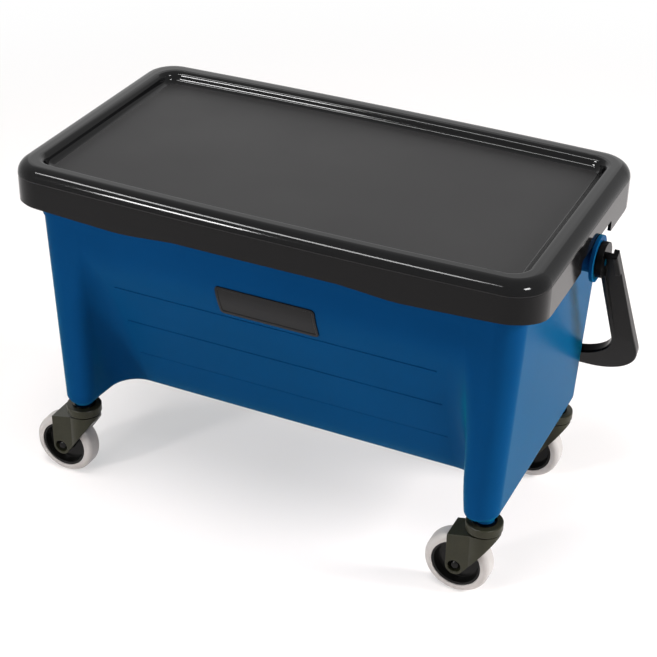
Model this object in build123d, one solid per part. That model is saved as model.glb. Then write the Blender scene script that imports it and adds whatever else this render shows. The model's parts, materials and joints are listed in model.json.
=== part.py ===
from build123d import *
import math
import os

os.makedirs("parts", exist_ok=True)

# Frame: X along the bucket, Y to the back, Z up, floor at zero, origin under the middle of the lid.
# All sizes are in millimetres.

# Lid
LID_LENGTH = 664.0
LID_WIDTH = 367.0
LID_TOP_Z = 458.0
LID_SKIRT = 54.0
LID_WALL = 4.0
LID_CORNER_R = 43.0
LID_EDGE_R = 16.0
SIDE_BOW = 6.0
BORDER_WIDTH = 24.0
PANEL_DROP = 14.5
RECESS_CORNER_R = 26.0
BORDER_EDGE_R = 4.0
PANEL_EDGE_R = 3.0

# Lower edge of the skirt: the long sides rise to the corners and arch up for the fingers
SIDE_LIFT = 7.0
ARCH_FOOT_LIFT = 1.3
ARCH_LIFT = 11.0
ARCH_HALF = 168.0
ARCH_EASE_R = 250.0
END_RAMP = 50.0
RAMP_SETBACK = 6.0

# Tub
TUB_SIDE_INSET = 21.5
TUB_END_INSET = 23.5
TUB_WALL = 4.0
TUB_CORNER_R = 30.0
TUB_FOOT_R = 24.0
END_DRAFT = 14.0
SIDE_DRAFT = 3.0
BOTTOM_EDGE_R = 10.0
BAND_DROP = 70.0
BAND_STEP = 1.5
RIM_DROP = 18.0
RIM_PLATE = 4.0
LID_GAP = 0.4
BOTTOM_BOW = 1.0

# Sloped front panel and the two legs beside it
PANEL_SETBACK = 93.0
FOLD_DROP = 117.7
FOLD_R = 90.0
LEG_WIDTH = 56.5
LEG_SIDE_LEAN = 7.0
LEG_EDGE_R = 16.0
COVE_R = 35.0
LEG_TURN = math.radians(86)
CURVE_SHARE = 0.8
LEG_STEP_MIN = 0.3
SECTION_SHARES = (0, 0.28, 0.4, 0.5, 0.59, 0.67, 0.74, 0.8, 0.86, 0.92, 1)
FRONT_SPANS = 8
FOOT_STEPS = 4
LEVEL_DROPS = (36.3, 96.3, 157.3)
LEVEL_END_GAP = 42.0
LEVEL_WIDTH = 1.6
LEVEL_PROUD = 0.7

# Pivot of the carrying handle
PIVOT_Y = 25.0
PIVOT_DROP = 62.0
BOSS_D = 36.0
FLANGE_D = 56.0
FLANGE_GAP = 0.6
PIN_D = 14.0
PIN_HEAD_D = 22.0
PIN_HEAD_T = 3.0
SIDE_GAP = 0.4
RUN_GAP = 0.05

# Openings in the lid skirt around the pivot boss
CUT_HALF = 56.0
CUT_DROP = 39.0
CUT_CORNER_R = 5.0

# Carrying handle
ARM_GAP = 5.0
ARM_WIDTH = 24.0
ARM_FLARE = 9.0
GRIP_R = 258.0
GRIP_WIDTH = 30.0
STRAP_T = 13.0
STRAP_EDGE_R = 2.5
BEND_OUT_R = 70.0
BEND_IN_R = 70.0
GRIP_CLEAR = 1.2
EYE_D = 43.0
EYE_T = 8.0
TAB_T = 6.0
TAB_RISE = 21.0
TAB_FALL = 19.0
WEB_RISE = 8.0
WEB_SINK = 5.0
LIP_WIDTH = 6.5

# Casters
STEM_INSET_X = 32.5
STEM_INSET_FRONT = 29.0
STEM_INSET_BACK = 35.0
WHEEL_D = 83.0
TYRE_WIDTH = 26.0
TYRE_T = 10.0
TYRE_EDGE_R = 7.0
TRAIL = 28.0
STEM_D = 11.0
STEM_HEAD_D = 14.4
STEM_HEAD_T = 3.0
SOCKET_D = 16.0
SOCKET_RISE = 24.0
POST_D = 26.0
STUB_D = 23.0
WASHER_D = 30.0
WASHER_T = 1.5
CASTER_RISE = 25.0
STUB_H = 10.0
RING_D = 45.0
RING_H = 11.0
RING_EDGE_R = 1.5
NECK_D = 36.0
NECK_H = 2.0
NOSE_D = 42.0
NOSE_H = 3.0
CROWN_T = 9.0
REAR_DROP = 9.0
WHEEL_GAP = 1.0
ARCH_GAP = 1.5
CHEEK_T = 4.0
CUP_D = 17.0
CUP_WALL = 3.0
CUP_FLOOR = 2.6
AXLE_D = 8.0
AXLE_HEAD_D = 13.0
AXLE_HEAD_T = 2.0
HUB_WIDTH = 23.0
HUB_RIM_T = 3.0
HUB_BOSS_D = 19.0
HUB_BOSS_LENGTH = 16.0
HUB_WEB_T = 5.0
HUB_SLOPE = 3.0

# How far a cutting shape passes the surface that it cuts
PASS = 1.0

# Sizes that follow from the ones above
CASTER_TOP_Z = WHEEL_D + CASTER_RISE
TUB_BOTTOM_Z = CASTER_TOP_Z + STUB_H
SOCKET_TOP_Z = TUB_BOTTOM_Z + SOCKET_RISE
SKIRT_Z = LID_TOP_Z - LID_SKIRT
PANEL_Z = LID_TOP_Z - PANEL_DROP
BAND_Z = LID_TOP_Z - BAND_DROP
RIM_Z = LID_TOP_Z - RIM_DROP
PANEL_INSET = BORDER_WIDTH + PANEL_DROP
LIP_TOP_Z = LID_TOP_Z - LID_WALL - LID_GAP
FOLD_Z = LID_TOP_Z - FOLD_DROP
PIVOT_Z = LID_TOP_Z - PIVOT_DROP
CUT_TOP = LID_TOP_Z - CUT_DROP
TUB_HALF_X = LID_LENGTH / 2 - TUB_END_INSET
TUB_HALF_Y = LID_WIDTH / 2 - TUB_SIDE_INSET
TUB_RISE = SKIRT_Z - TUB_BOTTOM_Z
PANEL_FOOT = TUB_HALF_Y - PANEL_SETBACK
PANEL_ANGLE = math.atan(PANEL_SETBACK / (FOLD_Z - TUB_BOTTOM_Z))
PANEL_SLOPE = math.tan(PANEL_ANGLE)
LEG_SIDE_X = TUB_HALF_X - LEG_WIDTH
LEVEL_HALF = LEG_SIDE_X - LEVEL_END_GAP
STEM_X = TUB_HALF_X - STEM_INSET_X
STEM_FRONT_Y = STEM_INSET_FRONT - TUB_HALF_Y
STEM_BACK_Y = TUB_HALF_Y - STEM_INSET_BACK
ARM_X = LID_LENGTH / 2 + ARM_GAP
BOSS_X = ARM_X - SIDE_GAP
STUB_Z = CASTER_TOP_Z + WASHER_T + 2 * SIDE_GAP
CROWN_TOP_Z = CASTER_TOP_Z - RING_H - NECK_H
CROWN_Z = CROWN_TOP_Z - CROWN_T
WHEEL_R = WHEEL_D / 2
RIM_R = WHEEL_R - TYRE_T
CHEEK_IN = TYRE_WIDTH / 2 + WHEEL_GAP
CHEEK_OUT = CHEEK_IN + CHEEK_T
CUP_IN = HUB_BOSS_LENGTH / 2 + SIDE_GAP
CUP_SEAT = CUP_IN + CUP_FLOOR


def flip(point, sx, sy):
    return (point[0] * sx, point[1] * sy, point[2])


def corner_points(half_x, half_y, bow, radius, z):
    """Points of one rounded corner between a straight end and a side that is an arc."""
    side_r = (half_x ** 2 + bow ** 2) / (2 * bow)
    centre_y = half_y + bow - side_r
    corner_x = half_x - radius
    corner_y = centre_y + math.sqrt((side_r - radius) ** 2 - corner_x ** 2)
    turn = math.atan2(corner_y - centre_y, corner_x)
    start = (half_x, corner_y, z)
    middle = (corner_x + radius * math.cos(turn / 2), corner_y + radius * math.sin(turn / 2), z)
    touch = (side_r * math.cos(turn), centre_y + side_r * math.sin(turn), z)
    return start, middle, touch, side_r, centre_y


def plan(half_x, half_y, bow, radius, z):
    """Closed plan with straight ends, bowed long sides and rounded corners."""
    start, middle, touch, _, _ = corner_points(half_x, half_y, bow, radius, z)
    edges = []
    for sx, sy in ((1, 1), (-1, 1), (-1, -1), (1, -1)):
        edges.append(ThreePointArc(*[flip(p, sx, sy) for p in (start, middle, touch)]))
    for sx in (1, -1):
        edges.append(Line(flip(start, sx, -1), flip(start, sx, 1)))
    for sy in (1, -1):
        crest = (0, sy * (half_y + bow), z)
        edges.append(ThreePointArc(flip(touch, 1, sy), crest, flip(touch, -1, sy)))
    return make_face(edges)


def lid_plan(inset, radius, z):
    return plan(LID_LENGTH / 2 - inset, LID_WIDTH / 2 - inset, SIDE_BOW, radius, z)


def tub_sizes(z, inset):
    """Half length, half width, bow and corner radius of the tub wall at one height."""
    level = (z - TUB_BOTTOM_Z) / TUB_RISE
    half_x = TUB_HALF_X - END_DRAFT * (1 - level) - inset
    half_y = TUB_HALF_Y - SIDE_DRAFT * (1 - level) - inset
    bow = BOTTOM_BOW + (SIDE_BOW - BOTTOM_BOW) * level
    radius = TUB_FOOT_R + (TUB_CORNER_R - TUB_FOOT_R) * level - inset
    return half_x, half_y, bow, radius


def front_depth(wall, z, inset):
    """Distance of the front from the middle plane: sloped panel, soft fold, then the upright wall."""
    foot = PANEL_FOOT - inset / math.cos(PANEL_ANGLE)
    radius = FOLD_R - inset
    fold_z = TUB_BOTTOM_Z + (wall - foot) / PANEL_SLOPE
    top_z = fold_z + radius * math.tan(PANEL_ANGLE / 2)
    if z >= top_z:
        return wall
    if z <= top_z - radius * math.sin(PANEL_ANGLE):
        return foot + (z - TUB_BOTTOM_Z) * PANEL_SLOPE
    return wall - radius + math.sqrt(radius ** 2 - (top_z - z) ** 2)


def leg_profile(depth, edge_r, cove_r):
    """Turn of the leg's rounded edge and cove, and length of the straight side between them."""
    reach = edge_r + cove_r
    turn = math.acos(max(1 - CURVE_SHARE * depth / reach, math.cos(LEG_TURN)))
    side = (depth - reach * (1 - math.cos(turn))) / math.sin(turn)
    return turn, side


def tub_section(z, inset):
    """Closed plan of the tub at one height, with the sloped panel set back between the legs."""
    half_x, half_y, bow, radius = tub_sizes(z, inset)
    start, middle, touch, side_r, centre_y = corner_points(half_x, half_y, bow, radius, z)
    level = (z - TUB_BOTTOM_Z) / TUB_RISE
    side_x = LEG_SIDE_X - LEG_SIDE_LEAN * level + inset
    edge_r = LEG_EDGE_R - inset
    cove_r = COVE_R + inset

    def wall(x):
        return centre_y + math.sqrt(side_r ** 2 - x ** 2)

    depth = max(wall(side_x) - front_depth(wall(side_x), z, inset), LEG_STEP_MIN)
    turn, side = leg_profile(depth, edge_r, cove_r)
    edge_x = side_x + side / 2 * math.cos(turn) + edge_r * math.sin(turn)
    edge_y = -wall(edge_x)

    def on_edge(angle):
        return (edge_x - edge_r * math.sin(angle), edge_y + edge_r * (1 - math.cos(angle)), z)

    cove_x = on_edge(turn)[0] - side * math.cos(turn) - cove_r * math.sin(turn)
    cove_y = edge_y + depth

    def on_cove(angle):
        return (cove_x + cove_r * math.sin(angle), cove_y - cove_r * (1 - math.cos(angle)), z)

    shares = [i / FRONT_SPANS for i in range(FRONT_SPANS + 1)]
    front = [(-cove_x, cove_y, z)]
    for share in shares[1:-1]:
        x = cove_x * (2 * share - 1)
        front.append((x, -front_depth(wall(x), z, inset), z))
    front.append((cove_x, cove_y, z))

    edges = [Edge.make_spline(front, parameters=shares)]
    edges.append(ThreePointArc(touch, (0, half_y + bow, z), flip(touch, -1, 1)))
    for sx, sy in ((1, 1), (-1, 1), (-1, -1), (1, -1)):
        edges.append(ThreePointArc(*[flip(p, sx, sy) for p in (start, middle, touch)]))
    leg_x = (touch[0] + edge_x) / 2
    for sx in (1, -1):
        edges.append(Line(flip(start, sx, -1), flip(start, sx, 1)))
        leg_mid = (sx * leg_x, -wall(leg_x), z)
        edges.append(ThreePointArc(flip(touch, sx, -1), leg_mid, flip(on_edge(0), sx, 1)))
        edges.append(ThreePointArc(*[flip(on_edge(turn * k), sx, 1) for k in (0, 0.5, 1)]))
        edges.append(Line(flip(on_edge(turn), sx, 1), flip(on_cove(turn), sx, 1)))
        edges.append(ThreePointArc(*[flip(on_cove(turn * k), sx, 1) for k in (1, 0.5, 0)]))
    return Wire(edges)


def tub_shell(bottom_z, inset):
    """Loft of the tub plans up to the band, closer together where the front folds."""
    rise = BAND_Z - bottom_z
    heights = [bottom_z + share * rise for share in SECTION_SHARES]
    return Solid.make_loft([tub_section(z, inset) for z in heights])


def tub_band(top_z, inset):
    """Plain upper part of the tub, above the fold."""
    return loft([plan(*tub_sizes(z, inset), z) for z in (BAND_Z, top_z)])


def tub_foot():
    """Bull-nosed bottom edge: tub plans that draw in along a quarter circle."""
    rings = []
    for step in range(FOOT_STEPS + 1):
        turn = math.pi / 2 * step / FOOT_STEPS
        z = TUB_BOTTOM_Z + BOTTOM_EDGE_R * (1 - math.sin(turn))
        rings.append(tub_section(z, BOTTOM_EDGE_R * (1 - math.cos(turn))))
    return Solid.make_loft(rings)


def upright(face, height):
    return extrude(face, amount=height, dir=(0, 0, 1))


def disc(diameter, bottom_z, height):
    return Pos(0, 0, bottom_z + height / 2) * Cylinder(diameter / 2, height)


def rod_x(diameter, x0, x1, y, z):
    return Pos((x0 + x1) / 2, y, z) * Rot(0, 90, 0) * Cylinder(diameter / 2, x1 - x0)


def rod_y(diameter, y0, y1, x, z):
    return Pos(x, (y0 + y1) / 2, z) * Rot(90, 0, 0) * Cylinder(diameter / 2, abs(y1 - y0))


def block(x0, x1, y0, y1, z0, z1):
    return Pos((x0 + x1) / 2, (y0 + y1) / 2, (z0 + z1) / 2) * Box(x1 - x0, y1 - y0, z1 - z0)


def tub_rim():
    """Flat flange round the mouth with an upright lip under the flat of the lid's border."""
    radius = LID_CORNER_R - LID_EDGE_R
    base_z = RIM_Z - RIM_PLATE
    plate = upright(lid_plan(LID_EDGE_R, radius, base_z), RIM_PLATE)
    lip = upright(lid_plan(LID_EDGE_R, radius, base_z), LIP_TOP_Z - base_z)
    lip -= upright(lid_plan(LID_EDGE_R + RIM_PLATE, radius - RIM_PLATE, base_z), LIP_TOP_Z)
    return plate + lip


def level_line(z):
    """Raised fill line across the sloped panel."""
    y = -PANEL_FOOT - (z - TUB_BOTTOM_Z) * PANEL_SLOPE
    line = Box(2 * LEVEL_HALF, 2 * LEVEL_PROUD, LEVEL_WIDTH)
    return Pos(0, y, z) * Rot(math.degrees(PANEL_ANGLE), 0, 0) * line


def pivot_boss(wall_x):
    """Boss on the right end with a wide flange, outside the skirt, that the handle's eye runs against."""
    flange = rod_x(FLANGE_D, LID_LENGTH / 2 + FLANGE_GAP, BOSS_X, 0, PIVOT_Z)
    return flange + rod_x(BOSS_D, wall_x, BOSS_X, 0, PIVOT_Z)


def leg_post():
    """Socket post inside a leg and the tapered stub that shows under it."""
    post = disc(POST_D, TUB_BOTTOM_Z, SOCKET_TOP_Z + TUB_WALL - TUB_BOTTOM_Z)
    taper = Cone(STUB_D / 2, POST_D / 2, TUB_BOTTOM_Z - STUB_Z)
    return post + Pos(0, 0, (STUB_Z + TUB_BOTTOM_Z) / 2) * taper


def make_bucket():
    """Tub with two full-width ends that run down as legs and a sloped front panel between them."""
    body = tub_shell(TUB_BOTTOM_Z + BOTTOM_EDGE_R, 0) + tub_foot() + tub_band(RIM_Z, -BAND_STEP)
    body += tub_rim()
    for drop in LEVEL_DROPS:
        body += level_line(FOLD_Z - drop)
    hollow = tub_shell(TUB_BOTTOM_Z + TUB_WALL, TUB_WALL)
    body -= hollow + tub_band(RIM_Z + PASS, TUB_WALL - BAND_STEP)
    wall_x = tub_sizes(PIVOT_Z, TUB_WALL / 2)[0]
    boss = pivot_boss(wall_x)
    pin_hole = rod_x(PIN_D, wall_x - 2 * TUB_WALL, BOSS_X + PASS, 0, PIVOT_Z)
    for turn in (0, 180):
        place = Pos(0, PIVOT_Y, 0) * Rot(0, 0, turn)
        body = body + place * boss - place * pin_hole
    post = leg_post()
    bore = disc(SOCKET_D, STUB_Z - PASS, SOCKET_TOP_Z - STUB_Z + PASS)
    for x, y in CORNERS.values():
        place = Pos(x, y, 0)
        body = body + place * post - place * bore
    return body


def skirt_trim():
    """What is cut from the skirt's lower edge: long sides that rise to the corners, with a finger arch."""
    out_x = LID_LENGTH / 2 + PASS
    low = SKIRT_Z - PASS
    corner, foot, crest = SKIRT_Z + SIDE_LIFT, SKIRT_Z + ARCH_FOOT_LIFT, SKIRT_Z + ARCH_LIFT
    outline = [Line((-out_x, low), (out_x, low))]
    outline.append(ThreePointArc((-ARCH_HALF, foot), (0, crest), (ARCH_HALF, foot)))
    for sx in (1, -1):
        outline.append(Line((sx * out_x, low), (sx * out_x, corner)))
        outline.append(Line((sx * out_x, corner), (sx * ARCH_HALF, foot)))
    face = make_face(outline)
    feet = [v for v in face.vertices() if abs(abs(v.X) - ARCH_HALF) < PASS]
    face = fillet(feet, ARCH_EASE_R)
    trim = extrude(Plane.XZ * face, amount=LID_WIDTH, both=True)
    corner_y = corner_points(LID_LENGTH / 2, LID_WIDTH / 2, SIDE_BOW, LID_CORNER_R, 0)[0][1]
    ramp_y = corner_y - RAMP_SETBACK
    far_y, far_z = ramp_y + 2 * END_RAMP, SKIRT_Z + 2 * SIDE_LIFT
    kept = Polyline(
        (ramp_y, low), (ramp_y, SKIRT_Z), (far_y, far_z), (-far_y, far_z), (-ramp_y, SKIRT_Z), (-ramp_y, low),
        close=True,
    )
    return trim - extrude(Plane.YZ * make_face(kept), amount=LID_LENGTH, both=True)


def skirt_window():
    """Opening over the pivot boss in each end of the skirt."""
    low = SKIRT_Z - PASS
    cut = Pos(0, (low + CUT_TOP) / 2) * Rectangle(2 * CUT_HALF, CUT_TOP - low)
    cut = fillet(cut.vertices().group_by(Axis.Y)[-1], CUT_CORNER_R)
    return Pos(0, PIVOT_Y, 0) * extrude(Plane.YZ * cut, amount=LID_LENGTH, both=True)


def lid_block(inset):
    """Solid in the lid's plan with a rounded top edge, all set in by one distance."""
    solid = upright(lid_plan(inset, LID_CORNER_R - inset, SKIRT_Z), LID_SKIRT - inset)
    return fillet(solid.faces().sort_by(Axis.Z)[-1].edges(), LID_EDGE_R - inset)


def lid_recess(back, drop):
    """Sunken middle of the lid with walls at 45 degrees, set back and dropped for the underside."""
    low = lid_plan(PANEL_INSET - back, RECESS_CORNER_R - PANEL_DROP + back, PANEL_Z - drop)
    return loft([low, lid_plan(BORDER_WIDTH - back, RECESS_CORNER_R + back, LID_TOP_Z - drop)])


def make_lid():
    """Lift-off lid: rounded border, flat panel set down inside it, deep skirt with cut-outs."""
    lid = lid_block(0) - lid_recess(0, 0)
    border = lid.faces().sort_by(Axis.Z)[-1]
    lid = fillet(border.inner_wires()[0].edges(), BORDER_EDGE_R)
    panel = lid.faces().filter_by(Axis.Z).filter_by(lambda face: abs(face.center().Z - PANEL_Z) < PASS)[0]
    lid = fillet(panel.edges(), PANEL_EDGE_R)
    under = lid_recess(LID_WALL * math.tan(math.pi / 8), LID_WALL)
    lid -= lid_block(LID_WALL) - under
    return lid - skirt_trim() - skirt_window()


def rest_angle():
    """Angle from hanging straight down at which the grip lies just clear of the tub's back wall."""
    lean = (SIDE_DRAFT + SIDE_BOW - BOTTOM_BOW) / TUB_RISE
    wall_y = TUB_HALF_Y + SIDE_BOW - lean * (SKIRT_Z - PIVOT_Z)
    half = STRAP_T / 2
    along, across = GRIP_R + lean * half, lean * GRIP_R - half
    reach = wall_y + GRIP_CLEAR - PIVOT_Y
    return math.degrees(math.asin(reach / math.hypot(along, across)) - math.atan2(across, along))


def handle_strap():
    """Flat strap in the XZ plane: two arms that spread a little and a grip with wide bends."""
    low = -GRIP_R - GRIP_WIDTH
    top_x = ARM_X + ARM_WIDTH
    low_x = top_x + ARM_FLARE
    outline = Polyline(
        (top_x, TAB_RISE), (low_x, low), (-low_x, low), (-top_x, TAB_RISE),
        (-ARM_X, TAB_RISE), (-ARM_X, -GRIP_R), (ARM_X, -GRIP_R), (ARM_X, TAB_RISE), close=True,
    )
    strap = fillet(make_face(outline).vertices().group_by(Axis.Y)[0], BEND_OUT_R)
    inner = [v for v in strap.vertices() if abs(v.Y + GRIP_R) < RUN_GAP and abs(v.X) < ARM_X + RUN_GAP]
    strap = fillet(inner, BEND_IN_R)
    handle = extrude(Plane.XZ * strap, amount=STRAP_T / 2, both=True)
    sides = handle.faces().sort_by(Axis.Y)
    return fillet(sides[0].edges() + sides[-1].edges(), STRAP_EDGE_R)


def arm_recess(tab_x):
    """Cut that sinks an arm's front behind its inner lip, deepest at the top, and leaves the thumb tab."""
    front, top = -STRAP_T / 2, TAB_RISE + PASS
    near_x = ARM_X + LIP_WIDTH
    far_x = ARM_X + ARM_WIDTH + ARM_FLARE + PASS
    foot = BEND_IN_R - GRIP_R
    side = Polyline(
        (front, foot), (front + WEB_SINK, top), (front - PASS, top), (front - PASS, foot), close=True,
    )
    wedge = Pos(near_x, 0, 0) * extrude(Plane.YZ * make_face(side), amount=far_x - near_x)
    return wedge - block(tab_x, far_x + PASS, front - 2 * PASS, STRAP_T, -TAB_FALL, top + PASS)


def make_handle():
    """Full-length handle: the bent strap with an eye, a thumb tab and a sunken front at each arm."""
    handle = handle_strap()
    eye_x = ARM_X + EYE_T
    tab_x = ARM_X + ARM_WIDTH - TAB_T
    cut = arm_recess(tab_x) + block(eye_x, tab_x, -STRAP_T, STRAP_T, WEB_RISE, TAB_RISE + PASS)
    eye = rod_x(EYE_D, ARM_X, eye_x, 0, 0)
    hole = rod_x(PIN_D + 2 * RUN_GAP, ARM_X - PASS, eye_x + PASS, 0, 0)
    handle = handle - cut + eye - hole
    cut, eye, hole = [mirror(shape, about=Plane.YZ) for shape in (cut, eye, hole)]
    handle = handle - cut + eye - hole
    return Pos(0, PIVOT_Y, PIVOT_Z) * Rot(rest_angle(), 0, 0) * handle


def make_pin(sx):
    """Stub pin: head inside the tub, shank through the boss and the handle's eye."""
    head_x = tub_sizes(PIVOT_Z - PIN_HEAD_D / 2, TUB_WALL)[0] - RUN_GAP
    pin = rod_x(PIN_D, head_x - PIN_HEAD_T / 2, ARM_X + EYE_T - SIDE_GAP, PIVOT_Y, PIVOT_Z)
    pin += rod_x(PIN_HEAD_D, head_x - PIN_HEAD_T, head_x, PIVOT_Y, PIVOT_Z)
    return pin if sx == 1 else mirror(pin, about=Plane.YZ)


def make_socket():
    """Plastic sleeve pressed up into the leg."""
    return disc(SOCKET_D, STUB_Z, SOCKET_TOP_Z - STUB_Z) - disc(STEM_D, STUB_Z - PASS, SOCKET_TOP_Z)


def make_stem():
    """Swivel stem: head under the fork, shank up through the fork and into the sleeve."""
    head_z = CROWN_Z - SIDE_GAP - STEM_HEAD_T
    return disc(STEM_HEAD_D, head_z, STEM_HEAD_T) + disc(STEM_D, head_z, SOCKET_TOP_Z - head_z)


def make_washer():
    """Thrust washer between the fork ring and the stub."""
    bottom = CASTER_TOP_Z + SIDE_GAP
    return disc(WASHER_D, bottom, WASHER_T) - disc(STEM_D, bottom - PASS, WASHER_T + 2 * PASS)


def fork_side(boss_r):
    """Side view of the fork: crown that falls to the rear, upright back, front edge down to the axle."""
    back_x = -TRAIL - boss_r
    nose_x, nose_z = NOSE_D / 2, CROWN_TOP_Z - NOSE_H
    run, rise = nose_x + TRAIL, nose_z - WHEEL_R
    lead = math.atan2(rise, run) - math.acos(boss_r / math.hypot(run, rise))
    touch = (-TRAIL + boss_r * math.cos(lead), WHEEL_R + boss_r * math.sin(lead))
    outline = Polyline(
        (back_x, WHEEL_R), (back_x, CROWN_TOP_Z - REAR_DROP), (0, CROWN_TOP_Z), (nose_x, CROWN_TOP_Z),
        (nose_x, nose_z), touch, (-TRAIL, WHEEL_R), close=True,
    )
    return make_face(outline) + Pos(-TRAIL, WHEEL_R) * Circle(boss_r)


def make_fork():
    """Swivel fork: raceway ring, sloped crown over the wheel and two cheeks with deep axle cups."""
    boss_r = CUP_D / 2 + CUP_WALL
    length = TRAIL + boss_r
    top_view = Pos(-length / 2, 0) * Rectangle(length, 2 * CHEEK_OUT) + Circle(NOSE_D / 2)
    fork = extrude(Plane.XZ * fork_side(boss_r), amount=NOSE_D / 2, both=True)
    fork &= upright(top_view, CROWN_TOP_Z)
    fork -= rod_y(2 * (WHEEL_R + ARCH_GAP), -CHEEK_IN, CHEEK_IN, -TRAIL, WHEEL_R)
    ring = fillet(disc(RING_D, CASTER_TOP_Z - RING_H, RING_H).edges(), RING_EDGE_R)
    fork += ring + disc(NECK_D, CROWN_Z, CASTER_TOP_Z - RING_H / 2 - CROWN_Z)
    for sy in (1, -1):
        fork += rod_y(2 * boss_r, sy * CUP_IN, sy * CHEEK_OUT, -TRAIL, WHEEL_R)
        fork -= rod_y(CUP_D, sy * CUP_SEAT, sy * (CHEEK_OUT + PASS), -TRAIL, WHEEL_R)
    fork -= rod_y(AXLE_D, -CHEEK_OUT, CHEEK_OUT, -TRAIL, WHEEL_R)
    fork -= disc(STEM_HEAD_D + 2 * SIDE_GAP, WHEEL_R, CROWN_Z - WHEEL_R)
    return fork - disc(STEM_D + 2 * RUN_GAP, WHEEL_R, CASTER_TOP_Z)


def make_axle():
    """Axle pin with a head on the floor of each cheek's cup."""
    reach = CUP_SEAT + AXLE_HEAD_T
    axle = rod_y(AXLE_D, -reach, reach, -TRAIL, WHEEL_R)
    for sy in (1, -1):
        axle += rod_y(AXLE_HEAD_D, sy * CUP_SEAT, sy * reach, -TRAIL, WHEEL_R)
    return axle


def make_hub():
    """Deep-dished wheel centre: rim, thin web and a centre boss with the bore."""
    half, web, boss = HUB_WIDTH / 2, HUB_WEB_T / 2, HUB_BOSS_LENGTH / 2
    bore_r = AXLE_D / 2 + RUN_GAP
    boss_r = HUB_BOSS_D / 2
    rim_in = RIM_R - HUB_RIM_T
    upper = [
        (bore_r, boss), (boss_r, boss), (boss_r + HUB_SLOPE, web), (rim_in - HUB_SLOPE, web),
        (rim_in, half), (RIM_R, half),
    ]
    lower = [(r, -y) for r, y in reversed(upper)]
    profile = make_face(Polyline(*upper, *lower, close=True))
    return Pos(-TRAIL, 0, WHEEL_R) * revolve(profile, Axis.Y)


def make_tyre():
    """Tread band with rounded shoulders."""
    band = Pos(RIM_R + TYRE_T / 2, 0) * Rectangle(TYRE_T, TYRE_WIDTH)
    band = fillet(band.vertices().group_by(Axis.X)[-1], TYRE_EDGE_R)
    return Pos(-TRAIL, 0, WHEEL_R) * revolve(band, Axis.Y)


def save(shape, name):
    shape.label = name
    export_step(shape, f"parts/{name}.step")


CORNERS = {
    "fl": (-STEM_X, STEM_FRONT_Y),
    "fr": (STEM_X, STEM_FRONT_Y),
    "bl": (-STEM_X, STEM_BACK_Y),
    "br": (STEM_X, STEM_BACK_Y),
}

save(make_bucket(), "bucket_body")
save(make_lid(), "lid")
save(make_handle(), "bail_handle")
save(make_pin(-1), "pivot_pin_l")
save(make_pin(1), "pivot_pin_r")

CASTER_PIECES = {
    "socket": make_socket(),
    "stem": make_stem(),
    "washer": make_washer(),
    "fork": make_fork(),
    "axle": make_axle(),
    "hub": make_hub(),
    "tyre": make_tyre(),
}
for corner, (x, y) in CORNERS.items():
    for piece, shape in CASTER_PIECES.items():
        save(Pos(x, y, 0) * shape, f"caster_{corner}_{piece}")
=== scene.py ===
# %% [markdown]
# # A floor finish bucket, dressed in Blender
#
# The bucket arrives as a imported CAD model. Its pieces already have their real size and place, so this
# lesson only adds what a CAD file lacks: finishes, a blank plate on the front, the heads of the axle
# bolts, a floor, light and a camera. Lengths are in metres, X runs along the bucket, Y to the back and
# Z up from the floor.

import json
import math

import bpy
from mathutils import Matrix, Vector


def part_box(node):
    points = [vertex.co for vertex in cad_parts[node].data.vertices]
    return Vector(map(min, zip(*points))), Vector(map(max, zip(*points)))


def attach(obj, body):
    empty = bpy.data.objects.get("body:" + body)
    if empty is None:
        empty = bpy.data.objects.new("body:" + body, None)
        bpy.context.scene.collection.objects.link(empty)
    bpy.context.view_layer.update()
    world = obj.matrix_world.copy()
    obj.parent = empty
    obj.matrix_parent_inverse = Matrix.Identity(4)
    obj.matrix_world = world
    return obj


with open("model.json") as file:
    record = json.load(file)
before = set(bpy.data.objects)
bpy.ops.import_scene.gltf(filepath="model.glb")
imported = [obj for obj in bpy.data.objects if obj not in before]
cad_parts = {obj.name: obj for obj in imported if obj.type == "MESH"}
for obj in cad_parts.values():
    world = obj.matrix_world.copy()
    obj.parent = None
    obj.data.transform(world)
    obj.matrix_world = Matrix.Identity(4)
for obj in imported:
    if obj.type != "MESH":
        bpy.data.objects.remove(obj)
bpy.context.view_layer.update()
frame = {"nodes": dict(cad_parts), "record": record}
nodes = frame["nodes"]

# %% [markdown]
# ## A shader to build on
#
# Every finish here is a Principled shader, which covers plastic, rubber and metal alike. By hand it is
# clicked together in the shader editor. In a script two small helpers do the clicking: one makes a
# material with its plain values, the other adds a node and fills in its sockets and settings.

# %% Helpers for a material and its nodes
def finish(name, colour, roughness, specular=0.5):
    """A new material with a Principled shader, and the node tree and shader to build on."""
    material = bpy.data.materials.new(name)
    material.use_nodes = True
    shader = material.node_tree.nodes["Principled BSDF"]
    shader.inputs["Base Color"].default_value = (*colour, 1.0)
    shader.inputs["Roughness"].default_value = roughness
    shader.inputs["Specular IOR Level"].default_value = specular
    return material, material.node_tree, shader


def add_node(tree, kind, **settings):
    """A new node; a setting fills the socket of its name, or else the node's own property."""
    node = tree.nodes.new(kind)
    for key, value in settings.items():
        if key in node.inputs:
            node.inputs[key].default_value = value
        else:
            setattr(node, key, value)
    return node


print("helpers: finish and add_node")

# %% [markdown]
# ## Patterns with a real size
#
# A moulding is never one flat colour. Noise that reads Object coordinates stays fixed to its piece and
# has a real scale: a scale of 100 means grains of about a centimetre. Most of a noise lies near the
# middle of 0 to 1, so the two other helpers stretch that middle over the wanted values or colours.

# %% Helpers for patterns
NOISE_LOW, NOISE_HIGH = 0.3, 0.7


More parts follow.
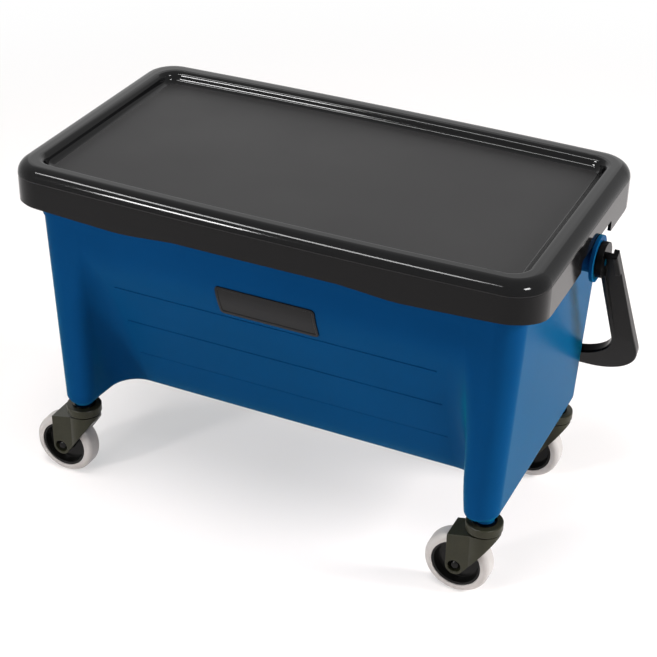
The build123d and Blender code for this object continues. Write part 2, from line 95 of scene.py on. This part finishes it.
def object_noise(tree, scale, detail=3.0, rough=0.55):
    """Noise on Object coordinates; returns the socket with its grey value."""
    place = add_node(tree, "ShaderNodeTexCoord")
    noise = add_node(tree, "ShaderNodeTexNoise", Scale=scale, Detail=detail, Roughness=rough)
    tree.links.new(place.outputs["Object"], noise.inputs["Vector"])
    return noise.outputs["Fac"]


def spread(tree, pattern, low, high):
    """Maps the middle of a pattern onto low to high."""
    node = add_node(tree, "ShaderNodeMapRange")
    node.inputs["From Min"].default_value = NOISE_LOW
    node.inputs["From Max"].default_value = NOISE_HIGH
    node.inputs["To Min"].default_value = low
    node.inputs["To Max"].default_value = high
    tree.links.new(pattern, node.inputs["Value"])
    return node.outputs["Result"]


def tint(tree, pattern, dark, light):
    """Blends two colours over the middle of a pattern."""
    ramp = add_node(tree, "ShaderNodeValToRGB")
    ramp.color_ramp.elements[0].position = NOISE_LOW
    ramp.color_ramp.elements[1].position = NOISE_HIGH
    ramp.color_ramp.elements[0].color = (*dark, 1.0)
    ramp.color_ramp.elements[1].color = (*light, 1.0)
    tree.links.new(pattern, ramp.inputs["Fac"])
    return ramp.outputs["Color"]


print("helpers: object_noise, spread and tint, for noise from", NOISE_LOW, "to", NOISE_HIGH)

# %% [markdown]
# ## Patterns in a finish
#
# A pattern reaches the shader in three ways. It shifts the colour, it makes the shine uneven, or it
# stands as a height that a Bump node turns into small slopes. Real geometry for a mould's fine grain
# would take millions of faces, so grain is left to the bump.

# %% Helpers that join a pattern to the shader
def vary_colour(tree, shader, pattern, dark, light):
    tree.links.new(tint(tree, pattern, dark, light), shader.inputs["Base Color"])


def vary_roughness(tree, shader, pattern, low, high):
    tree.links.new(spread(tree, pattern, low, high), shader.inputs["Roughness"])


def add_bump(tree, shader, height, distance, strength):
    """A bump from a height; a second one builds on the first."""
    bump = add_node(tree, "ShaderNodeBump", Distance=distance, Strength=strength)
    tree.links.new(height, bump.inputs["Height"])
    if shader.inputs["Normal"].is_linked:
        tree.links.new(shader.inputs["Normal"].links[0].from_socket, bump.inputs["Normal"])
    tree.links.new(bump.outputs["Normal"], shader.inputs["Normal"])


print("helpers: vary_colour, vary_roughness and add_bump")

# %% [markdown]
# ## Blue moulded plastic
#
# The tub is one thick moulding in a deep blue. Polished steel moulds leave a shine, but thick walls
# cool unevenly, so a long, low wave stays in the surface and breaks up reflections. A broad noise
# shifts the colour a little, a finer one the roughness, and a long one is the bump. In an all-white
# room a full reflection would wash out the blue where a wall is seen at a low angle, so the reflection
# is kept weak and tinted, and a thin blue-green sheen lifts those walls instead.

# %% Tub finish
def tub_finish():
    material, tree, shader = finish(
        "tub_blue_gloss", colour=(0.0022, 0.036, 0.119), roughness=0.2, specular=0.004)
    shader.inputs["Specular Tint"].default_value = (0.3, 0.95, 1.0, 1.0)
    shader.inputs["Sheen Weight"].default_value = 0.12
    shader.inputs["Sheen Roughness"].default_value = 0.4
    shader.inputs["Sheen Tint"].default_value = (0.0, 1.0, 0.75, 1.0)
    broad = object_noise(tree, scale=5.0)
    vary_colour(tree, shader, broad, dark=(0.0020, 0.0337, 0.112), light=(0.0024, 0.0383, 0.126))
    fine = object_noise(tree, scale=260.0)
    vary_roughness(tree, shader, fine, low=0.17, high=0.25)
    wave = object_noise(tree, scale=22.0, detail=1.0)
    add_bump(tree, shader, wave, distance=0.001, strength=0.12)
    return material


tub_blue = tub_finish()
print("finish:", tub_blue.name)

# %% [markdown]
# ## Finding a place on the lid
#
# The lid's border is polished black, and the panel set down inside it has a fine grain that scatters
# light. Two materials would need the faces sorted by hand. One material can do both, because the height
# of a point tells border from panel, so the finish needs a point's place and some arithmetic.

# %% Helpers for a place on the lid
LID_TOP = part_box("lid")[1]
PANEL_DROP = 0.0145
PANEL_Z = LID_TOP.z - PANEL_DROP


def math_node(tree, operation, first, second=None):
    """One step of arithmetic; each input is a socket or a number."""
    node = add_node(tree, "ShaderNodeMath", operation=operation)
    for place, value in enumerate((first, second)):
        if isinstance(value, bpy.types.NodeSocket):
            tree.links.new(value, node.inputs[place])
        elif value is not None:
            node.inputs[place].default_value = value
    return node.outputs["Value"]


def lid_place(tree):
    """X, Y and Z on the lid, as three sockets."""
    place = add_node(tree, "ShaderNodeTexCoord")
    axes = add_node(tree, "ShaderNodeSeparateXYZ")
    tree.links.new(place.outputs["Object"], axes.inputs["Vector"])
    return axes.outputs["X"], axes.outputs["Y"], axes.outputs["Z"]


print("lid: top at z", round(LID_TOP.z, 4), "and panel at z", round(PANEL_Z, 4))

# %% [markdown]
# ## The soft slope
#
# On the real lid the slope from border to panel is a soft S, and it splits a reflection into two lines.
# The solid has a plain slope there, and its mesh is left alone, so the S is a bump: one turn of a sine
# over the slope's height. A rounded outline, from a high power of X and Y, keeps it off the outer edge.

# %% Wave on the slope
SLOPE_INSET_X, SLOPE_INSET_Y = 0.020, 0.0229
CORNER_POWER = 14.0


def outward(tree, place, half_size):
    """A high power of a place along one axis: small inside, 1 at half_size."""
    share = math_node(tree, "ABSOLUTE", math_node(tree, "DIVIDE", place, half_size))
    return math_node(tree, "POWER", share, CORNER_POWER)


def slope_wave(tree):
    """Height of the soft S in the slope between border and panel, 0 on the rest of the lid."""
    x, y, z = lid_place(tree)
    across = outward(tree, x, LID_TOP.x - SLOPE_INSET_X)
    along = outward(tree, y, LID_TOP.y - SLOPE_INSET_Y)
    inside = math_node(tree, "LESS_THAN", math_node(tree, "ADD", across, along), 1.0)
    rise = math_node(tree, "SUBTRACT", z, PANEL_Z)
    turn = math_node(tree, "MULTIPLY", rise, -math.tau / PANEL_DROP)
    return math_node(tree, "MULTIPLY", math_node(tree, "SINE", turn), inside)


print("slope: one wave over", PANEL_DROP, "m of height")

# %% [markdown]
# ## Black lid with a satin panel
#
# Now the lid's finish can be put together. A mask picks out the panel by its height, and Mix nodes use
# it to choose between two blacks and two kinds of shine. The slope's wave comes first in the bump, and
# the panel's fine grain builds on it.

# %% Lid finish
BORDER_BLACK = (0.0035, 0.0035, 0.0037)
PANEL_REACH = 0.0006
SLOPE_WAVE = 0.0017


def lid_finish():
    material, tree, shader = finish("lid_black", colour=BORDER_BLACK, roughness=0.1, specular=0.138)
    panel = math_node(tree, "COMPARE", lid_place(tree)[2], PANEL_Z)
    panel.node.inputs[2].default_value = PANEL_REACH
    cloud = object_noise(tree, scale=6.0, detail=4.0)
    panel_black = tint(tree, cloud, dark=(0.010, 0.0096, 0.0098), light=(0.016, 0.0155, 0.0158))
    shade = add_node(tree, "ShaderNodeMix", data_type="RGBA")
    shade.inputs["A"].default_value = (*BORDER_BLACK, 1.0)
    tree.links.new(panel_black, shade.inputs["B"])
    tree.links.new(panel, shade.inputs["Factor"])
    tree.links.new(shade.outputs["Result"], shader.inputs["Base Color"])
    polish = spread(tree, object_noise(tree, scale=300.0), low=0.06, high=0.11)
    satin = spread(tree, cloud, low=0.42, high=0.54)
    rough = add_node(tree, "ShaderNodeMix", data_type="FLOAT")
    tree.links.new(panel, rough.inputs["Factor"])
    tree.links.new(polish, rough.inputs["A"])
    tree.links.new(satin, rough.inputs["B"])
    tree.links.new(rough.outputs["Result"], shader.inputs["Roughness"])
    add_bump(tree, shader, slope_wave(tree), distance=SLOPE_WAVE, strength=1.0)
    grain = math_node(tree, "MULTIPLY", object_noise(tree, scale=900.0, detail=2.0), panel)
    add_bump(tree, shader, grain, distance=0.0004, strength=0.25)
    return material


lid_black = lid_finish()
print("finish:", lid_black.name)

# %% [markdown]
# ## Black handle
#
# The handle is a smooth moulded bar in a deep black that mirrors little. On the real one the edges are
# slightly rounded and catch the light. A bevel would round them in the mesh, but CAD meshes are left
# alone, so the shader does it: a Bevel node shades a sharp edge as if it had a small radius.

# %% Handle finish
def soft_edges(tree, shader, radius):
    """Shades sharp edges as if they were rounded to this radius, so that they catch the light."""
    bevel = add_node(tree, "ShaderNodeBevel", Radius=radius)
    tree.links.new(bevel.outputs["Normal"], shader.inputs["Normal"])


def handle_finish():
    material, tree, shader = finish(
        "handle_black", colour=(0.003, 0.003, 0.0032), roughness=0.15, specular=0.03)
    soft_edges(tree, shader, radius=0.0012)
    fine = object_noise(tree, scale=240.0)
    vary_roughness(tree, shader, fine, low=0.1, high=0.18)
    wave = object_noise(tree, scale=45.0, detail=1.0)
    add_bump(tree, shader, wave, distance=0.0008, strength=0.12)
    return material


handle_black = handle_finish()
print("finish:", handle_black.name)

# %% [markdown]
# ## Charcoal forks
#
# The caster forks are a grained charcoal plastic with a hint of olive. The grain is less than a
# millimetre, so one fine noise serves twice: it dulls the shine unevenly and it is the bump. A broader
# noise shifts the colour, as moulded plastic does where it flowed.

# %% Fork finish
def fork_finish():
    material, tree, shader = finish(
        "fork_charcoal", colour=(0.020, 0.020, 0.0115), roughness=0.3, specular=0.15)
    soft_edges(tree, shader, radius=0.001)
    broad = object_noise(tree, scale=60.0)
    vary_colour(tree, shader, broad, dark=(0.0178, 0.0178, 0.0102), light=(0.0222, 0.0222, 0.0128))
    fine = object_noise(tree, scale=1400.0, detail=2.0)
    vary_roughness(tree, shader, fine, low=0.26, high=0.38)
    add_bump(tree, shader, fine, distance=0.0002, strength=0.12)
    return material


fork_charcoal = fork_finish()
print("finish:", fork_charcoal.name)

# %% [markdown]
# ## Pale tyres
#
# The tyres are a pale rubber that leaves no marks on a floor, and it picks up a little dust. Dust lies
# in patches, so the noise for the colour has more detail than the others. Rubber is dull, and its
# roughness stays high all over.

# %% Tyre finish
def tyre_finish():
    material, tree, shader = finish("tyre_grey", colour=(0.37, 0.352, 0.34), roughness=0.5)
    broad = object_noise(tree, scale=40.0, detail=5.0)
    vary_colour(tree, shader, broad, dark=(0.348, 0.328, 0.315), light=(0.392, 0.376, 0.365))
    fine = object_noise(tree, scale=700.0)
    vary_roughness(tree, shader, fine, low=0.42, high=0.56)
    add_bump(tree, shader, fine, distance=0.0003, strength=0.1)
    return material


tyre_grey = tyre_finish()
print("finish:", tyre_grey.name)

# %% [markdown]
# ## Black hubs
#
# Inside each tyre is a hub of smooth black plastic. It is small and half hidden by the fork, so a soft
# edge and an uneven shine are what shows of it. A low wave keeps its flat faces from looking like glass.

# %% Hub finish
def hub_finish():
    material, tree, shader = finish(
        "hub_black", colour=(0.004, 0.004, 0.0038), roughness=0.25, specular=0.14)
    soft_edges(tree, shader, radius=0.0006)
    fine = object_noise(tree, scale=500.0)
    vary_roughness(tree, shader, fine, low=0.18, high=0.26)
    wave = object_noise(tree, scale=90.0, detail=1.0)
    add_bump(tree, shader, wave, distance=0.0004, strength=0.06)
    return material


hub_black = hub_finish()
print("finish:", hub_black.name)

# %% [markdown]
# ## Dark metal
#
# Stems and washers are blackened steel, and the axle bolts have a black coat. Both are metal, so the
# colour is the colour of the reflection, and a dark one gives dark metal. They differ only in colour
# and shine, so one function makes both.

# %% Metal finishes
def metal_finish(name, colour, low, high):
    """Dark metal with fine marks in its shine."""
    material, tree, shader = finish(name, colour, roughness=(low + high) / 2)
    shader.inputs["Metallic"].default_value = 1.0
    fine = object_noise(tree, scale=800.0, detail=2.0)
    vary_roughness(tree, shader, fine, low, high)
    add_bump(tree, shader, fine, distance=0.0002, strength=0.1)
    return material


stem_steel = metal_finish("stem_steel", colour=(0.035, 0.034, 0.031), low=0.16, high=0.26)
axle_black = metal_finish("axle_black", colour=(0.016, 0.016, 0.016), low=0.08, high=0.14)
print("finishes:", stem_steel.name, axle_black.name)

# %% [markdown]
# ## Nylon sockets
#
# Each stem is pressed into a black nylon socket in the tub's corner. Little of a socket shows, and nylon
# is plain and dull, so a fine noise in its roughness and bump is enough.

# %% Socket finish
def nylon_finish():
    material, tree, shader = finish("socket_nylon", colour=(0.03, 0.03, 0.03), roughness=0.5)
    fine = object_noise(tree, scale=900.0)
    vary_roughness(tree, shader, fine, low=0.42, high=0.6)
    add_bump(tree, shader, fine, distance=0.0002, strength=0.1)
    return material


socket_nylon = nylon_finish()
print("finish:", socket_nylon.name)

# %% [markdown]
# ## Finishes on the CAD pieces
#
# The record that came with the frame names a material slot for every piece. Each slot gets one of the
# finishes above, so four casters share their finishes and nothing is left with its import colour.

# %% Dress the frame
SLOT_FINISH = {
    "tub_blue": tub_blue,
    "pin_blue": tub_blue,
    "lid_black": lid_black,
    "handle_black": handle_black,
    "fork_charcoal": fork_charcoal,
    "tyre_grey": tyre_grey,
    "hub_black": hub_black,
    "stem_steel": stem_steel,
    "axle_black": axle_black,
    "socket_nylon": socket_nylon,
}

for piece in frame["record"]["subparts"]:
    mesh = nodes[piece["node"]].data
    mesh.materials.clear()
    mesh.materials.append(SLOT_FINISH[piece["material_slot"]])

# %% [markdown]
# ## The blank plate
#
# A thin plastic plate sits on the front wall, over the fold where the sloped panel begins. It has
# nothing on it, only a slim raised rim. A bent sheet could be shaped by hand, but the wall already has
# the bend: a flat sheet is cut to its outline in front of the wall and wrapped onto it later. Bevelled
# corners give the outline, and two insets mark the rim and the step inside it.

# %% Cut the plate to its outline
PLATE_X, PLATE_Z = 0.002, 0.3335
PLATE_WIDTH, PLATE_HEIGHT = 0.128, 0.043
PLATE_START_Y = -0.25
PLATE_CORNER, CORNER_STEPS = 0.005, 6
RIM_WIDTH, RIM_STEP = 0.0028, 0.0007

bpy.ops.object.select_all(action="DESELECT")
bpy.ops.mesh.primitive_plane_add(size=1.0)
plate = bpy.context.object
plate.name = "blank_plate"
plate.scale = (PLATE_WIDTH, PLATE_HEIGHT, 1.0)
plate.rotation_euler = (math.pi / 2, 0.0, 0.0)
plate.location = (PLATE_X, PLATE_START_Y, PLATE_Z)
bpy.ops.object.transform_apply(location=True, rotation=True, scale=True)
bpy.ops.object.mode_set(mode="EDIT")
bpy.ops.mesh.select_all(action="SELECT")
bpy.ops.mesh.bevel(affect="VERTICES", offset=PLATE_CORNER, offset_type="OFFSET", segments=CORNER_STEPS)
bpy.ops.mesh.select_all(action="SELECT")
bpy.ops.mesh.inset(thickness=RIM_WIDTH, depth=0.0)
bpy.ops.mesh.inset(thickness=RIM_STEP, depth=0.0)
bpy.ops.object.mode_set(mode="OBJECT")
print("plate outline:", len(plate.data.polygons), "faces")

# %% [markdown]
# A sheet bends only where it has edges, so it is sliced first. Subdividing would spread its cuts
# unevenly over the long, thin faces of the rim. Bisect cuts straight through everything at one height,
# so the slices run level across rim and field alike, and a second set runs upright.

# %% Slice it so that it can bend
STRIPS, COLUMNS = 18, 12


def slice_evenly(normal, start, size, count):
    """Cuts what is being edited into equal slices along normal."""
    for step in range(1, count):
        bpy.ops.mesh.select_all(action="SELECT")
        bpy.ops.mesh.bisect(plane_co=normal * (start + size * step / count), plane_no=normal)


bpy.ops.object.mode_set(mode="EDIT")
slice_evenly(Vector((0.0, 0.0, 1.0)), PLATE_Z - PLATE_HEIGHT / 2, PLATE_HEIGHT, STRIPS)
slice_evenly(Vector((1.0, 0.0, 0.0)), PLATE_X - PLATE_WIDTH / 2, PLATE_WIDTH, COLUMNS)
bpy.ops.object.mode_set(mode="OBJECT")
print("plate sliced:", len(plate.data.polygons), "faces")

# %% [markdown]
# Shrinkwrap pushes every point of the sheet straight back until it meets the wall, and Solidify gives
# the sheet its thickness. Moving the points by hand would need the wall's slope at each of them, while
# the modifier reads it from the tub.

# %% Wrap it onto the wall and thicken it
PLATE_THICKNESS = 0.0016


def apply_modifier(piece, kind, name, **settings):
    """Adds one modifier with its settings and applies it."""
    modifier = piece.modifiers.new(name, kind)
    for key, value in settings.items():
        setattr(modifier, key, value)
    bpy.context.view_layer.objects.active = piece
    bpy.ops.object.modifier_apply(modifier=name)


apply_modifier(
    plate, "SHRINKWRAP", "wrap", wrap_method="PROJECT", target=nodes["bucket_body"],
    use_project_y=True, use_positive_direction=True, use_negative_direction=False)
apply_modifier(plate, "SOLIDIFY", "thickness", thickness=PLATE_THICKNESS, offset=1.0)
print("plate thickened:", len(plate.data.polygons), "faces")

# %% [markdown]
# The rim of the real plate stands a little proud of its field. Building the rim as a frame of its own
# would leave a seam, so the field is sunk instead: its faces are picked by how far they lie inside the
# outline, and moved in along their normals.

# %% Sink its field
FACING_FRONT = -0.3
PICK_SLACK = 0.0002
PLATE_SMOOTH = math.radians(25)


def inside_outline(point):
    """How far a point lies inside the plate's outline, seen from the front."""
    across = abs(point.x - PLATE_X) - (PLATE_WIDTH / 2 - PLATE_CORNER)
    up = abs(point.z - PLATE_Z) - (PLATE_HEIGHT / 2 - PLATE_CORNER)
    return PLATE_CORNER - math.hypot(max(across, 0.0), max(up, 0.0)) - min(max(across, up), 0.0)


points = plate.data.vertices
for face in plate.data.polygons:
    depth = min(inside_outline(points[v].co) for v in face.vertices)
    face.select = face.normal.y < FACING_FRONT and depth > RIM_WIDTH + RIM_STEP - PICK_SLACK
bpy.ops.object.mode_set(mode="EDIT")
bpy.ops.mesh.select_mode(type="FACE")
bpy.ops.transform.shrink_fatten(value=-RIM_STEP)
bpy.ops.object.mode_set(mode="OBJECT")
bpy.ops.object.shade_smooth_by_angle(angle=PLATE_SMOOTH)
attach(plate, "bucket")
plate_low = [round(min(v.co[k] for v in points), 4) for k in range(3)]
plate_high = [round(max(v.co[k] for v in points), 4) for k in range(3)]
print("plate:", len(plate.data.polygons), "faces, from", plate_low, "to", plate_high)

# %% [markdown]
# ## Satin black for the plate
#
# The plate is a separate moulding, duller than the handle. The handle's finish would do at a glance, but
# a satin plate has a fine grain, so it gets a material of its own with that grain in shine and bump.

# %% Plate finish
def plate_finish():
    material, tree, shader = finish(
        "plate_black_satin", colour=(0.005, 0.005, 0.0053), roughness=0.35, specular=0.12)
    fine = object_noise(tree, scale=1200.0, detail=2.0)
    vary_roughness(tree, shader, fine, low=0.28, high=0.42)
    add_bump(tree, shader, fine, distance=0.0002, strength=0.12)
    return material


plate.data.materials.append(plate_finish())
print("finish:", plate.data.materials[0].name)

# %% [markdown]
# ## Axle heads
#
# Each wheel turns on a black bolt whose button head sits deep in a cup of the fork. The CAD bolt ends
# flat, which is right for its size but never catches the light. A button head could be a squashed
# sphere, but a short cylinder keeps the straight edge and the flat middle of a real one. The first head
# is made at its own place, on the front end of the front left bolt.

# %% Start one head as a cylinder
HEAD_R, HEAD_HEIGHT, HEAD_SIDES = 0.0062, 0.0042, 40
HEAD_SUNK = 0.0003
FRONT, BACK = -1, 1


def bolt_end(corner, side):
    """Where a head sits, a little way into the front or back end of a caster's bolt."""
    low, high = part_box(f"caster_{corner}_axle")
    middle = (low + high) / 2
    end = low.y if side == FRONT else high.y
    return Vector((middle.x, end - side * HEAD_SUNK, middle.z))


first_place = bolt_end("fl", FRONT)
bpy.ops.object.select_all(action="DESELECT")
bpy.ops.mesh.primitive_cylinder_add(
    vertices=HEAD_SIDES, radius=HEAD_R, depth=HEAD_HEIGHT, rotation=(math.pi / 2, 0.0, 0.0),
    location=first_place + Vector((0.0, FRONT * HEAD_HEIGHT / 2, 0.0)))
first_head = bpy.context.object
bpy.ops.object.transform_apply(location=True, rotation=True, scale=True)
print("head started at", [round(v, 4) for v in first_place])

# %% [markdown]
# A wide bevel on the outer edge makes the button. Only the ring of edges at the outer end is selected,
# by its place along Y, so the end that sits on the bolt stays sharp.

# %% Round its outer edge
HEAD_ROUND, ROUND_STEPS = 0.0040, 8
SAME_PLACE = 1e-5
HEAD_SMOOTH = math.radians(35)

outer_y = first_place.y + FRONT * HEAD_HEIGHT
bpy.ops.object.mode_set(mode="EDIT")
bpy.ops.mesh.select_mode(type="EDGE")
bpy.ops.mesh.select_all(action="DESELECT")
bpy.ops.object.mode_set(mode="OBJECT")
points = first_head.data.vertices
for edge in first_head.data.edges:
    edge.select = all(abs(points[v].co.y - outer_y) < SAME_PLACE for v in edge.vertices)
bpy.ops.object.mode_set(mode="EDIT")
bpy.ops.mesh.bevel(offset=HEAD_ROUND, segments=ROUND_STEPS, profile=0.5)
bpy.ops.object.mode_set(mode="OBJECT")
bpy.ops.object.shade_smooth_by_angle(angle=HEAD_SMOOTH)
first_head.data.materials.append(axle_black)
print("head rounded:", len(first_head.data.polygons), "faces")

# %% [markdown]
# The other seven heads are the same, so they are copies of the first, each with a mesh of its own. A
# head on a back end is turned half round. The move and the turn go into the mesh itself, so that each
# head's object stays at the origin, as the CAD pieces do.

# %% Copy the head to every bolt end
SIDE_NAMES = {FRONT: "front", BACK: "back"}


def copy_head(corner, side):
    """A copy of the first head, with its own mesh, on another bolt end."""
    head = first_head.copy()
    head.data = first_head.data.copy()
    bpy.context.collection.objects.link(head)
    half_turn = Matrix.Rotation(0.0 if side == FRONT else math.pi, 4, "Z")
    onto_end = Matrix.Translation(bolt_end(corner, side))
    head.data.transform(onto_end @ half_turn @ Matrix.Translation(-first_place))
    return head


heads = {("fl", FRONT): first_head}
for corner in ("fl", "fr", "bl", "br"):
    for side in (FRONT, BACK):
        if (corner, side) not in heads:
            heads[corner, side] = copy_head(corner, side)
for (corner, side), head in heads.items():
    head.name = f"axle_head_{corner}_{SIDE_NAMES[side]}"
    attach(head, f"caster_{corner}")
print("axle heads:", len(heads), "of", len(first_head.data.polygons), "faces each")

# %% [markdown]
# ## Floor
#
# A product shot stands on a white sweep, a sheet that curves up behind the object. A flat plane is
# enough here, if it is large and its far part is as white as the world behind it: then no edge shows.

# %% Floor plane
FLOOR_SIZE = 16.0

bpy.ops.object.select_all(action="DESELECT")
bpy.ops.mesh.primitive_plane_add(size=FLOOR_SIZE)
floor = bpy.context.object
floor.name = "floor"
print("floor:", FLOOR_SIZE, "m square")

# %% [markdown]
# ## White floor that keeps a shadow
#
# More light would turn the floor white, but it would also burn out the bucket. So part of the white is
# a glow that only the camera, reflections and glass see. Near the bucket half of the floor's look is
# glow and the rest takes the soft shadow; further out the glow takes over.

# %% Floor finish
FLOOR_GLOW = 0.5
FADE_START, FADE_END = 0.7, 1.9


def white_to_the_eye(tree):
    """1 for the rays that look at the backdrop straight, in a reflection or through glass, else 0."""
    ray = add_node(tree, "ShaderNodeLightPath")
    mirrored = math_node(tree, "MAXIMUM", ray.outputs["Is Glossy Ray"], ray.outputs["Is Transmission Ray"])
    return math_node(tree, "MAXIMUM", ray.outputs["Is Camera Ray"], mirrored)


def floor_finish():
    material, tree, shader = finish("floor_white", colour=(0.97, 0.90, 0.88), roughness=0.9)
    glow = add_node(tree, "ShaderNodeEmission", Color=(1.0, 1.0, 1.0, 1.0), Strength=1.0)
    place = add_node(tree, "ShaderNodeTexCoord")
    reach = add_node(tree, "ShaderNodeVectorMath", operation="LENGTH")
    tree.links.new(place.outputs["Object"], reach.inputs[0])
    fade = add_node(tree, "ShaderNodeMapRange", interpolation_type="SMOOTHSTEP")
    fade.inputs["From Min"].default_value = FADE_START
    fade.inputs["From Max"].default_value = FADE_END
    fade.inputs["To Min"].default_value = FLOOR_GLOW
    fade.inputs["To Max"].default_value = 1.0
    tree.links.new(reach.outputs["Value"], fade.inputs["Value"])
    share = math_node(tree, "MULTIPLY", fade.outputs["Result"], white_to_the_eye(tree))
    mix = add_node(tree, "ShaderNodeMixShader")
    tree.links.new(share, mix.inputs["Fac"])
    tree.links.new(shader.outputs["BSDF"], mix.inputs[1])
    tree.links.new(glow.outputs["Emission"], mix.inputs[2])
    tree.links.new(mix.outputs["Shader"], tree.nodes["Material Output"].inputs["Surface"])
    return material


floor.data.materials.append(floor_finish())
print("floor glow:", FLOOR_GLOW, "near the bucket, 1.0 from", FADE_END, "m out")

# %% [markdown]
# ## White room
#
# The photograph has the even light of a white studio. A white world gives that light from all round. It
# lights the bucket at a low level, so that the lamps can still shape it, and it looks fully white to
# the camera and in reflections, as the floor does.

# %% World
WORLD_LEVEL = 0.22

world = bpy.data.worlds.new("studio")
bpy.context.scene.world = world
world.use_nodes = True
sky = world.node_tree.nodes["Background"]
sky.inputs["Color"].default_value = (1.0, 1.0, 1.0, 1.0)
level = add_node(world.node_tree, "ShaderNodeMapRange")
level.inputs["To Min"].default_value = WORLD_LEVEL
level.inputs["To Max"].default_value = 1.0
world.node_tree.links.new(white_to_the_eye(world.node_tree), level.inputs["Value"])
world.node_tree.links.new(level.outputs["Result"], sky.inputs["Strength"])
print("world level:", WORLD_LEVEL)

# %% [markdown]
# ## Soft lamps
#
# Four area lamps shape the bucket: a key at the front left, a strong one for the right end, one from
# above and a faint fill. A lamp lights a surface and also shows as a bright shape in its reflection.
# These four are hidden from reflections, so that they can be set for the surfaces alone.

# %% Soft lamps
LIT_POINT = Vector((0.0, 0.0, 0.25))


def softbox(name, place, width, height, watts):
    """An area lamp at place that faces the bucket."""
    lamp = bpy.data.lights.new(name, "AREA")
    lamp.shape = "RECTANGLE"
    lamp.size, lamp.size_y = width, height
    lamp.energy = watts
    holder = bpy.data.objects.new(name, lamp)
    bpy.context.collection.objects.link(holder)
    holder.location = place
    holder.rotation_euler = (LIT_POINT - Vector(place)).to_track_quat("-Z", "Y").to_euler()
    return holder


soft_lamps = [
    softbox("key", place=(-1.35, -2.3, 0.95), width=0.3, height=0.4, watts=38.0),
    softbox("side", place=(2.3, 0.5, 1.2), width=0.7, height=0.7, watts=88.0),
    softbox("top", place=(-0.2, -0.6, 2.6), width=1.2, height=0.9, watts=56.0),
    softbox("fill", place=(1.6, -2.2, 0.8), width=0.5, height=0.5, watts=2.0),
]
for lamp in soft_lamps:
    lamp.visible_glossy = False
print("soft lamps:", [lamp.name for lamp in soft_lamps])

# %% [markdown]
# ## Glint cards
#
# A photographer sets white cards where they mirror in a shiny edge. Four cards draw the bright lines on
# the lid: along its rounded front, on the far slope, round the right corner and, faintly, at the back.
# They are area lamps too, but hidden from diffuse light, so moving one changes a glint and nothing else.

# %% Glint cards
glint_cards = [
    softbox("front_glint", place=(-1.24, -2.07, 1.48), width=0.48, height=0.3, watts=50.0),
    softbox("slope_glint", place=(-0.95, -1.24, 2.31), width=1.6, height=0.25, watts=56.0),
    softbox("corner_glint", place=(1.77, -0.82, 1.79), width=0.5, height=0.36, watts=44.0),
    softbox("back_glint", place=(-0.9, 2.2, 1.6), width=2.8, height=1.4, watts=9.0),
]
for card in glint_cards:
    card.visible_diffuse = False
print("glint cards:", [card.name for card in glint_cards])

# %% [markdown]
# ## Camera
#
# The photograph's view was worked out from the bucket's own edges: how far round and above the camera
# stands, how far away, and its lens. The small roll and shift put the picture on the same frame.

# %% Camera
AZIMUTH, ELEVATION, ROLL = math.radians(24.702), math.radians(31.187), math.radians(1.069)
TARGET = Vector((0.0036, 0.0, 0.2317))
DISTANCE = 2.0995
LENS, SENSOR = 91.53, 36.0
SHIFT_X, SHIFT_Y = 0.0052, -0.0075

lens = bpy.data.cameras.new("camera")
lens.lens, lens.sensor_width = LENS, SENSOR
lens.shift_x, lens.shift_y = SHIFT_X, SHIFT_Y
camera = bpy.data.objects.new("camera", lens)
bpy.context.collection.objects.link(camera)
turn = Matrix.Rotation(AZIMUTH, 4, "Z") @ Matrix.Rotation(math.pi / 2 - ELEVATION, 4, "X")
turn = turn @ Matrix.Rotation(ROLL, 4, "Z")
camera.matrix_world = Matrix.Translation(TARGET) @ turn @ Matrix.Translation((0.0, 0.0, DISTANCE))
bpy.context.scene.camera = camera
bpy.context.scene.view_settings.view_transform = "Standard"
print("camera at", [round(v, 3) for v in camera.matrix_world.translation])
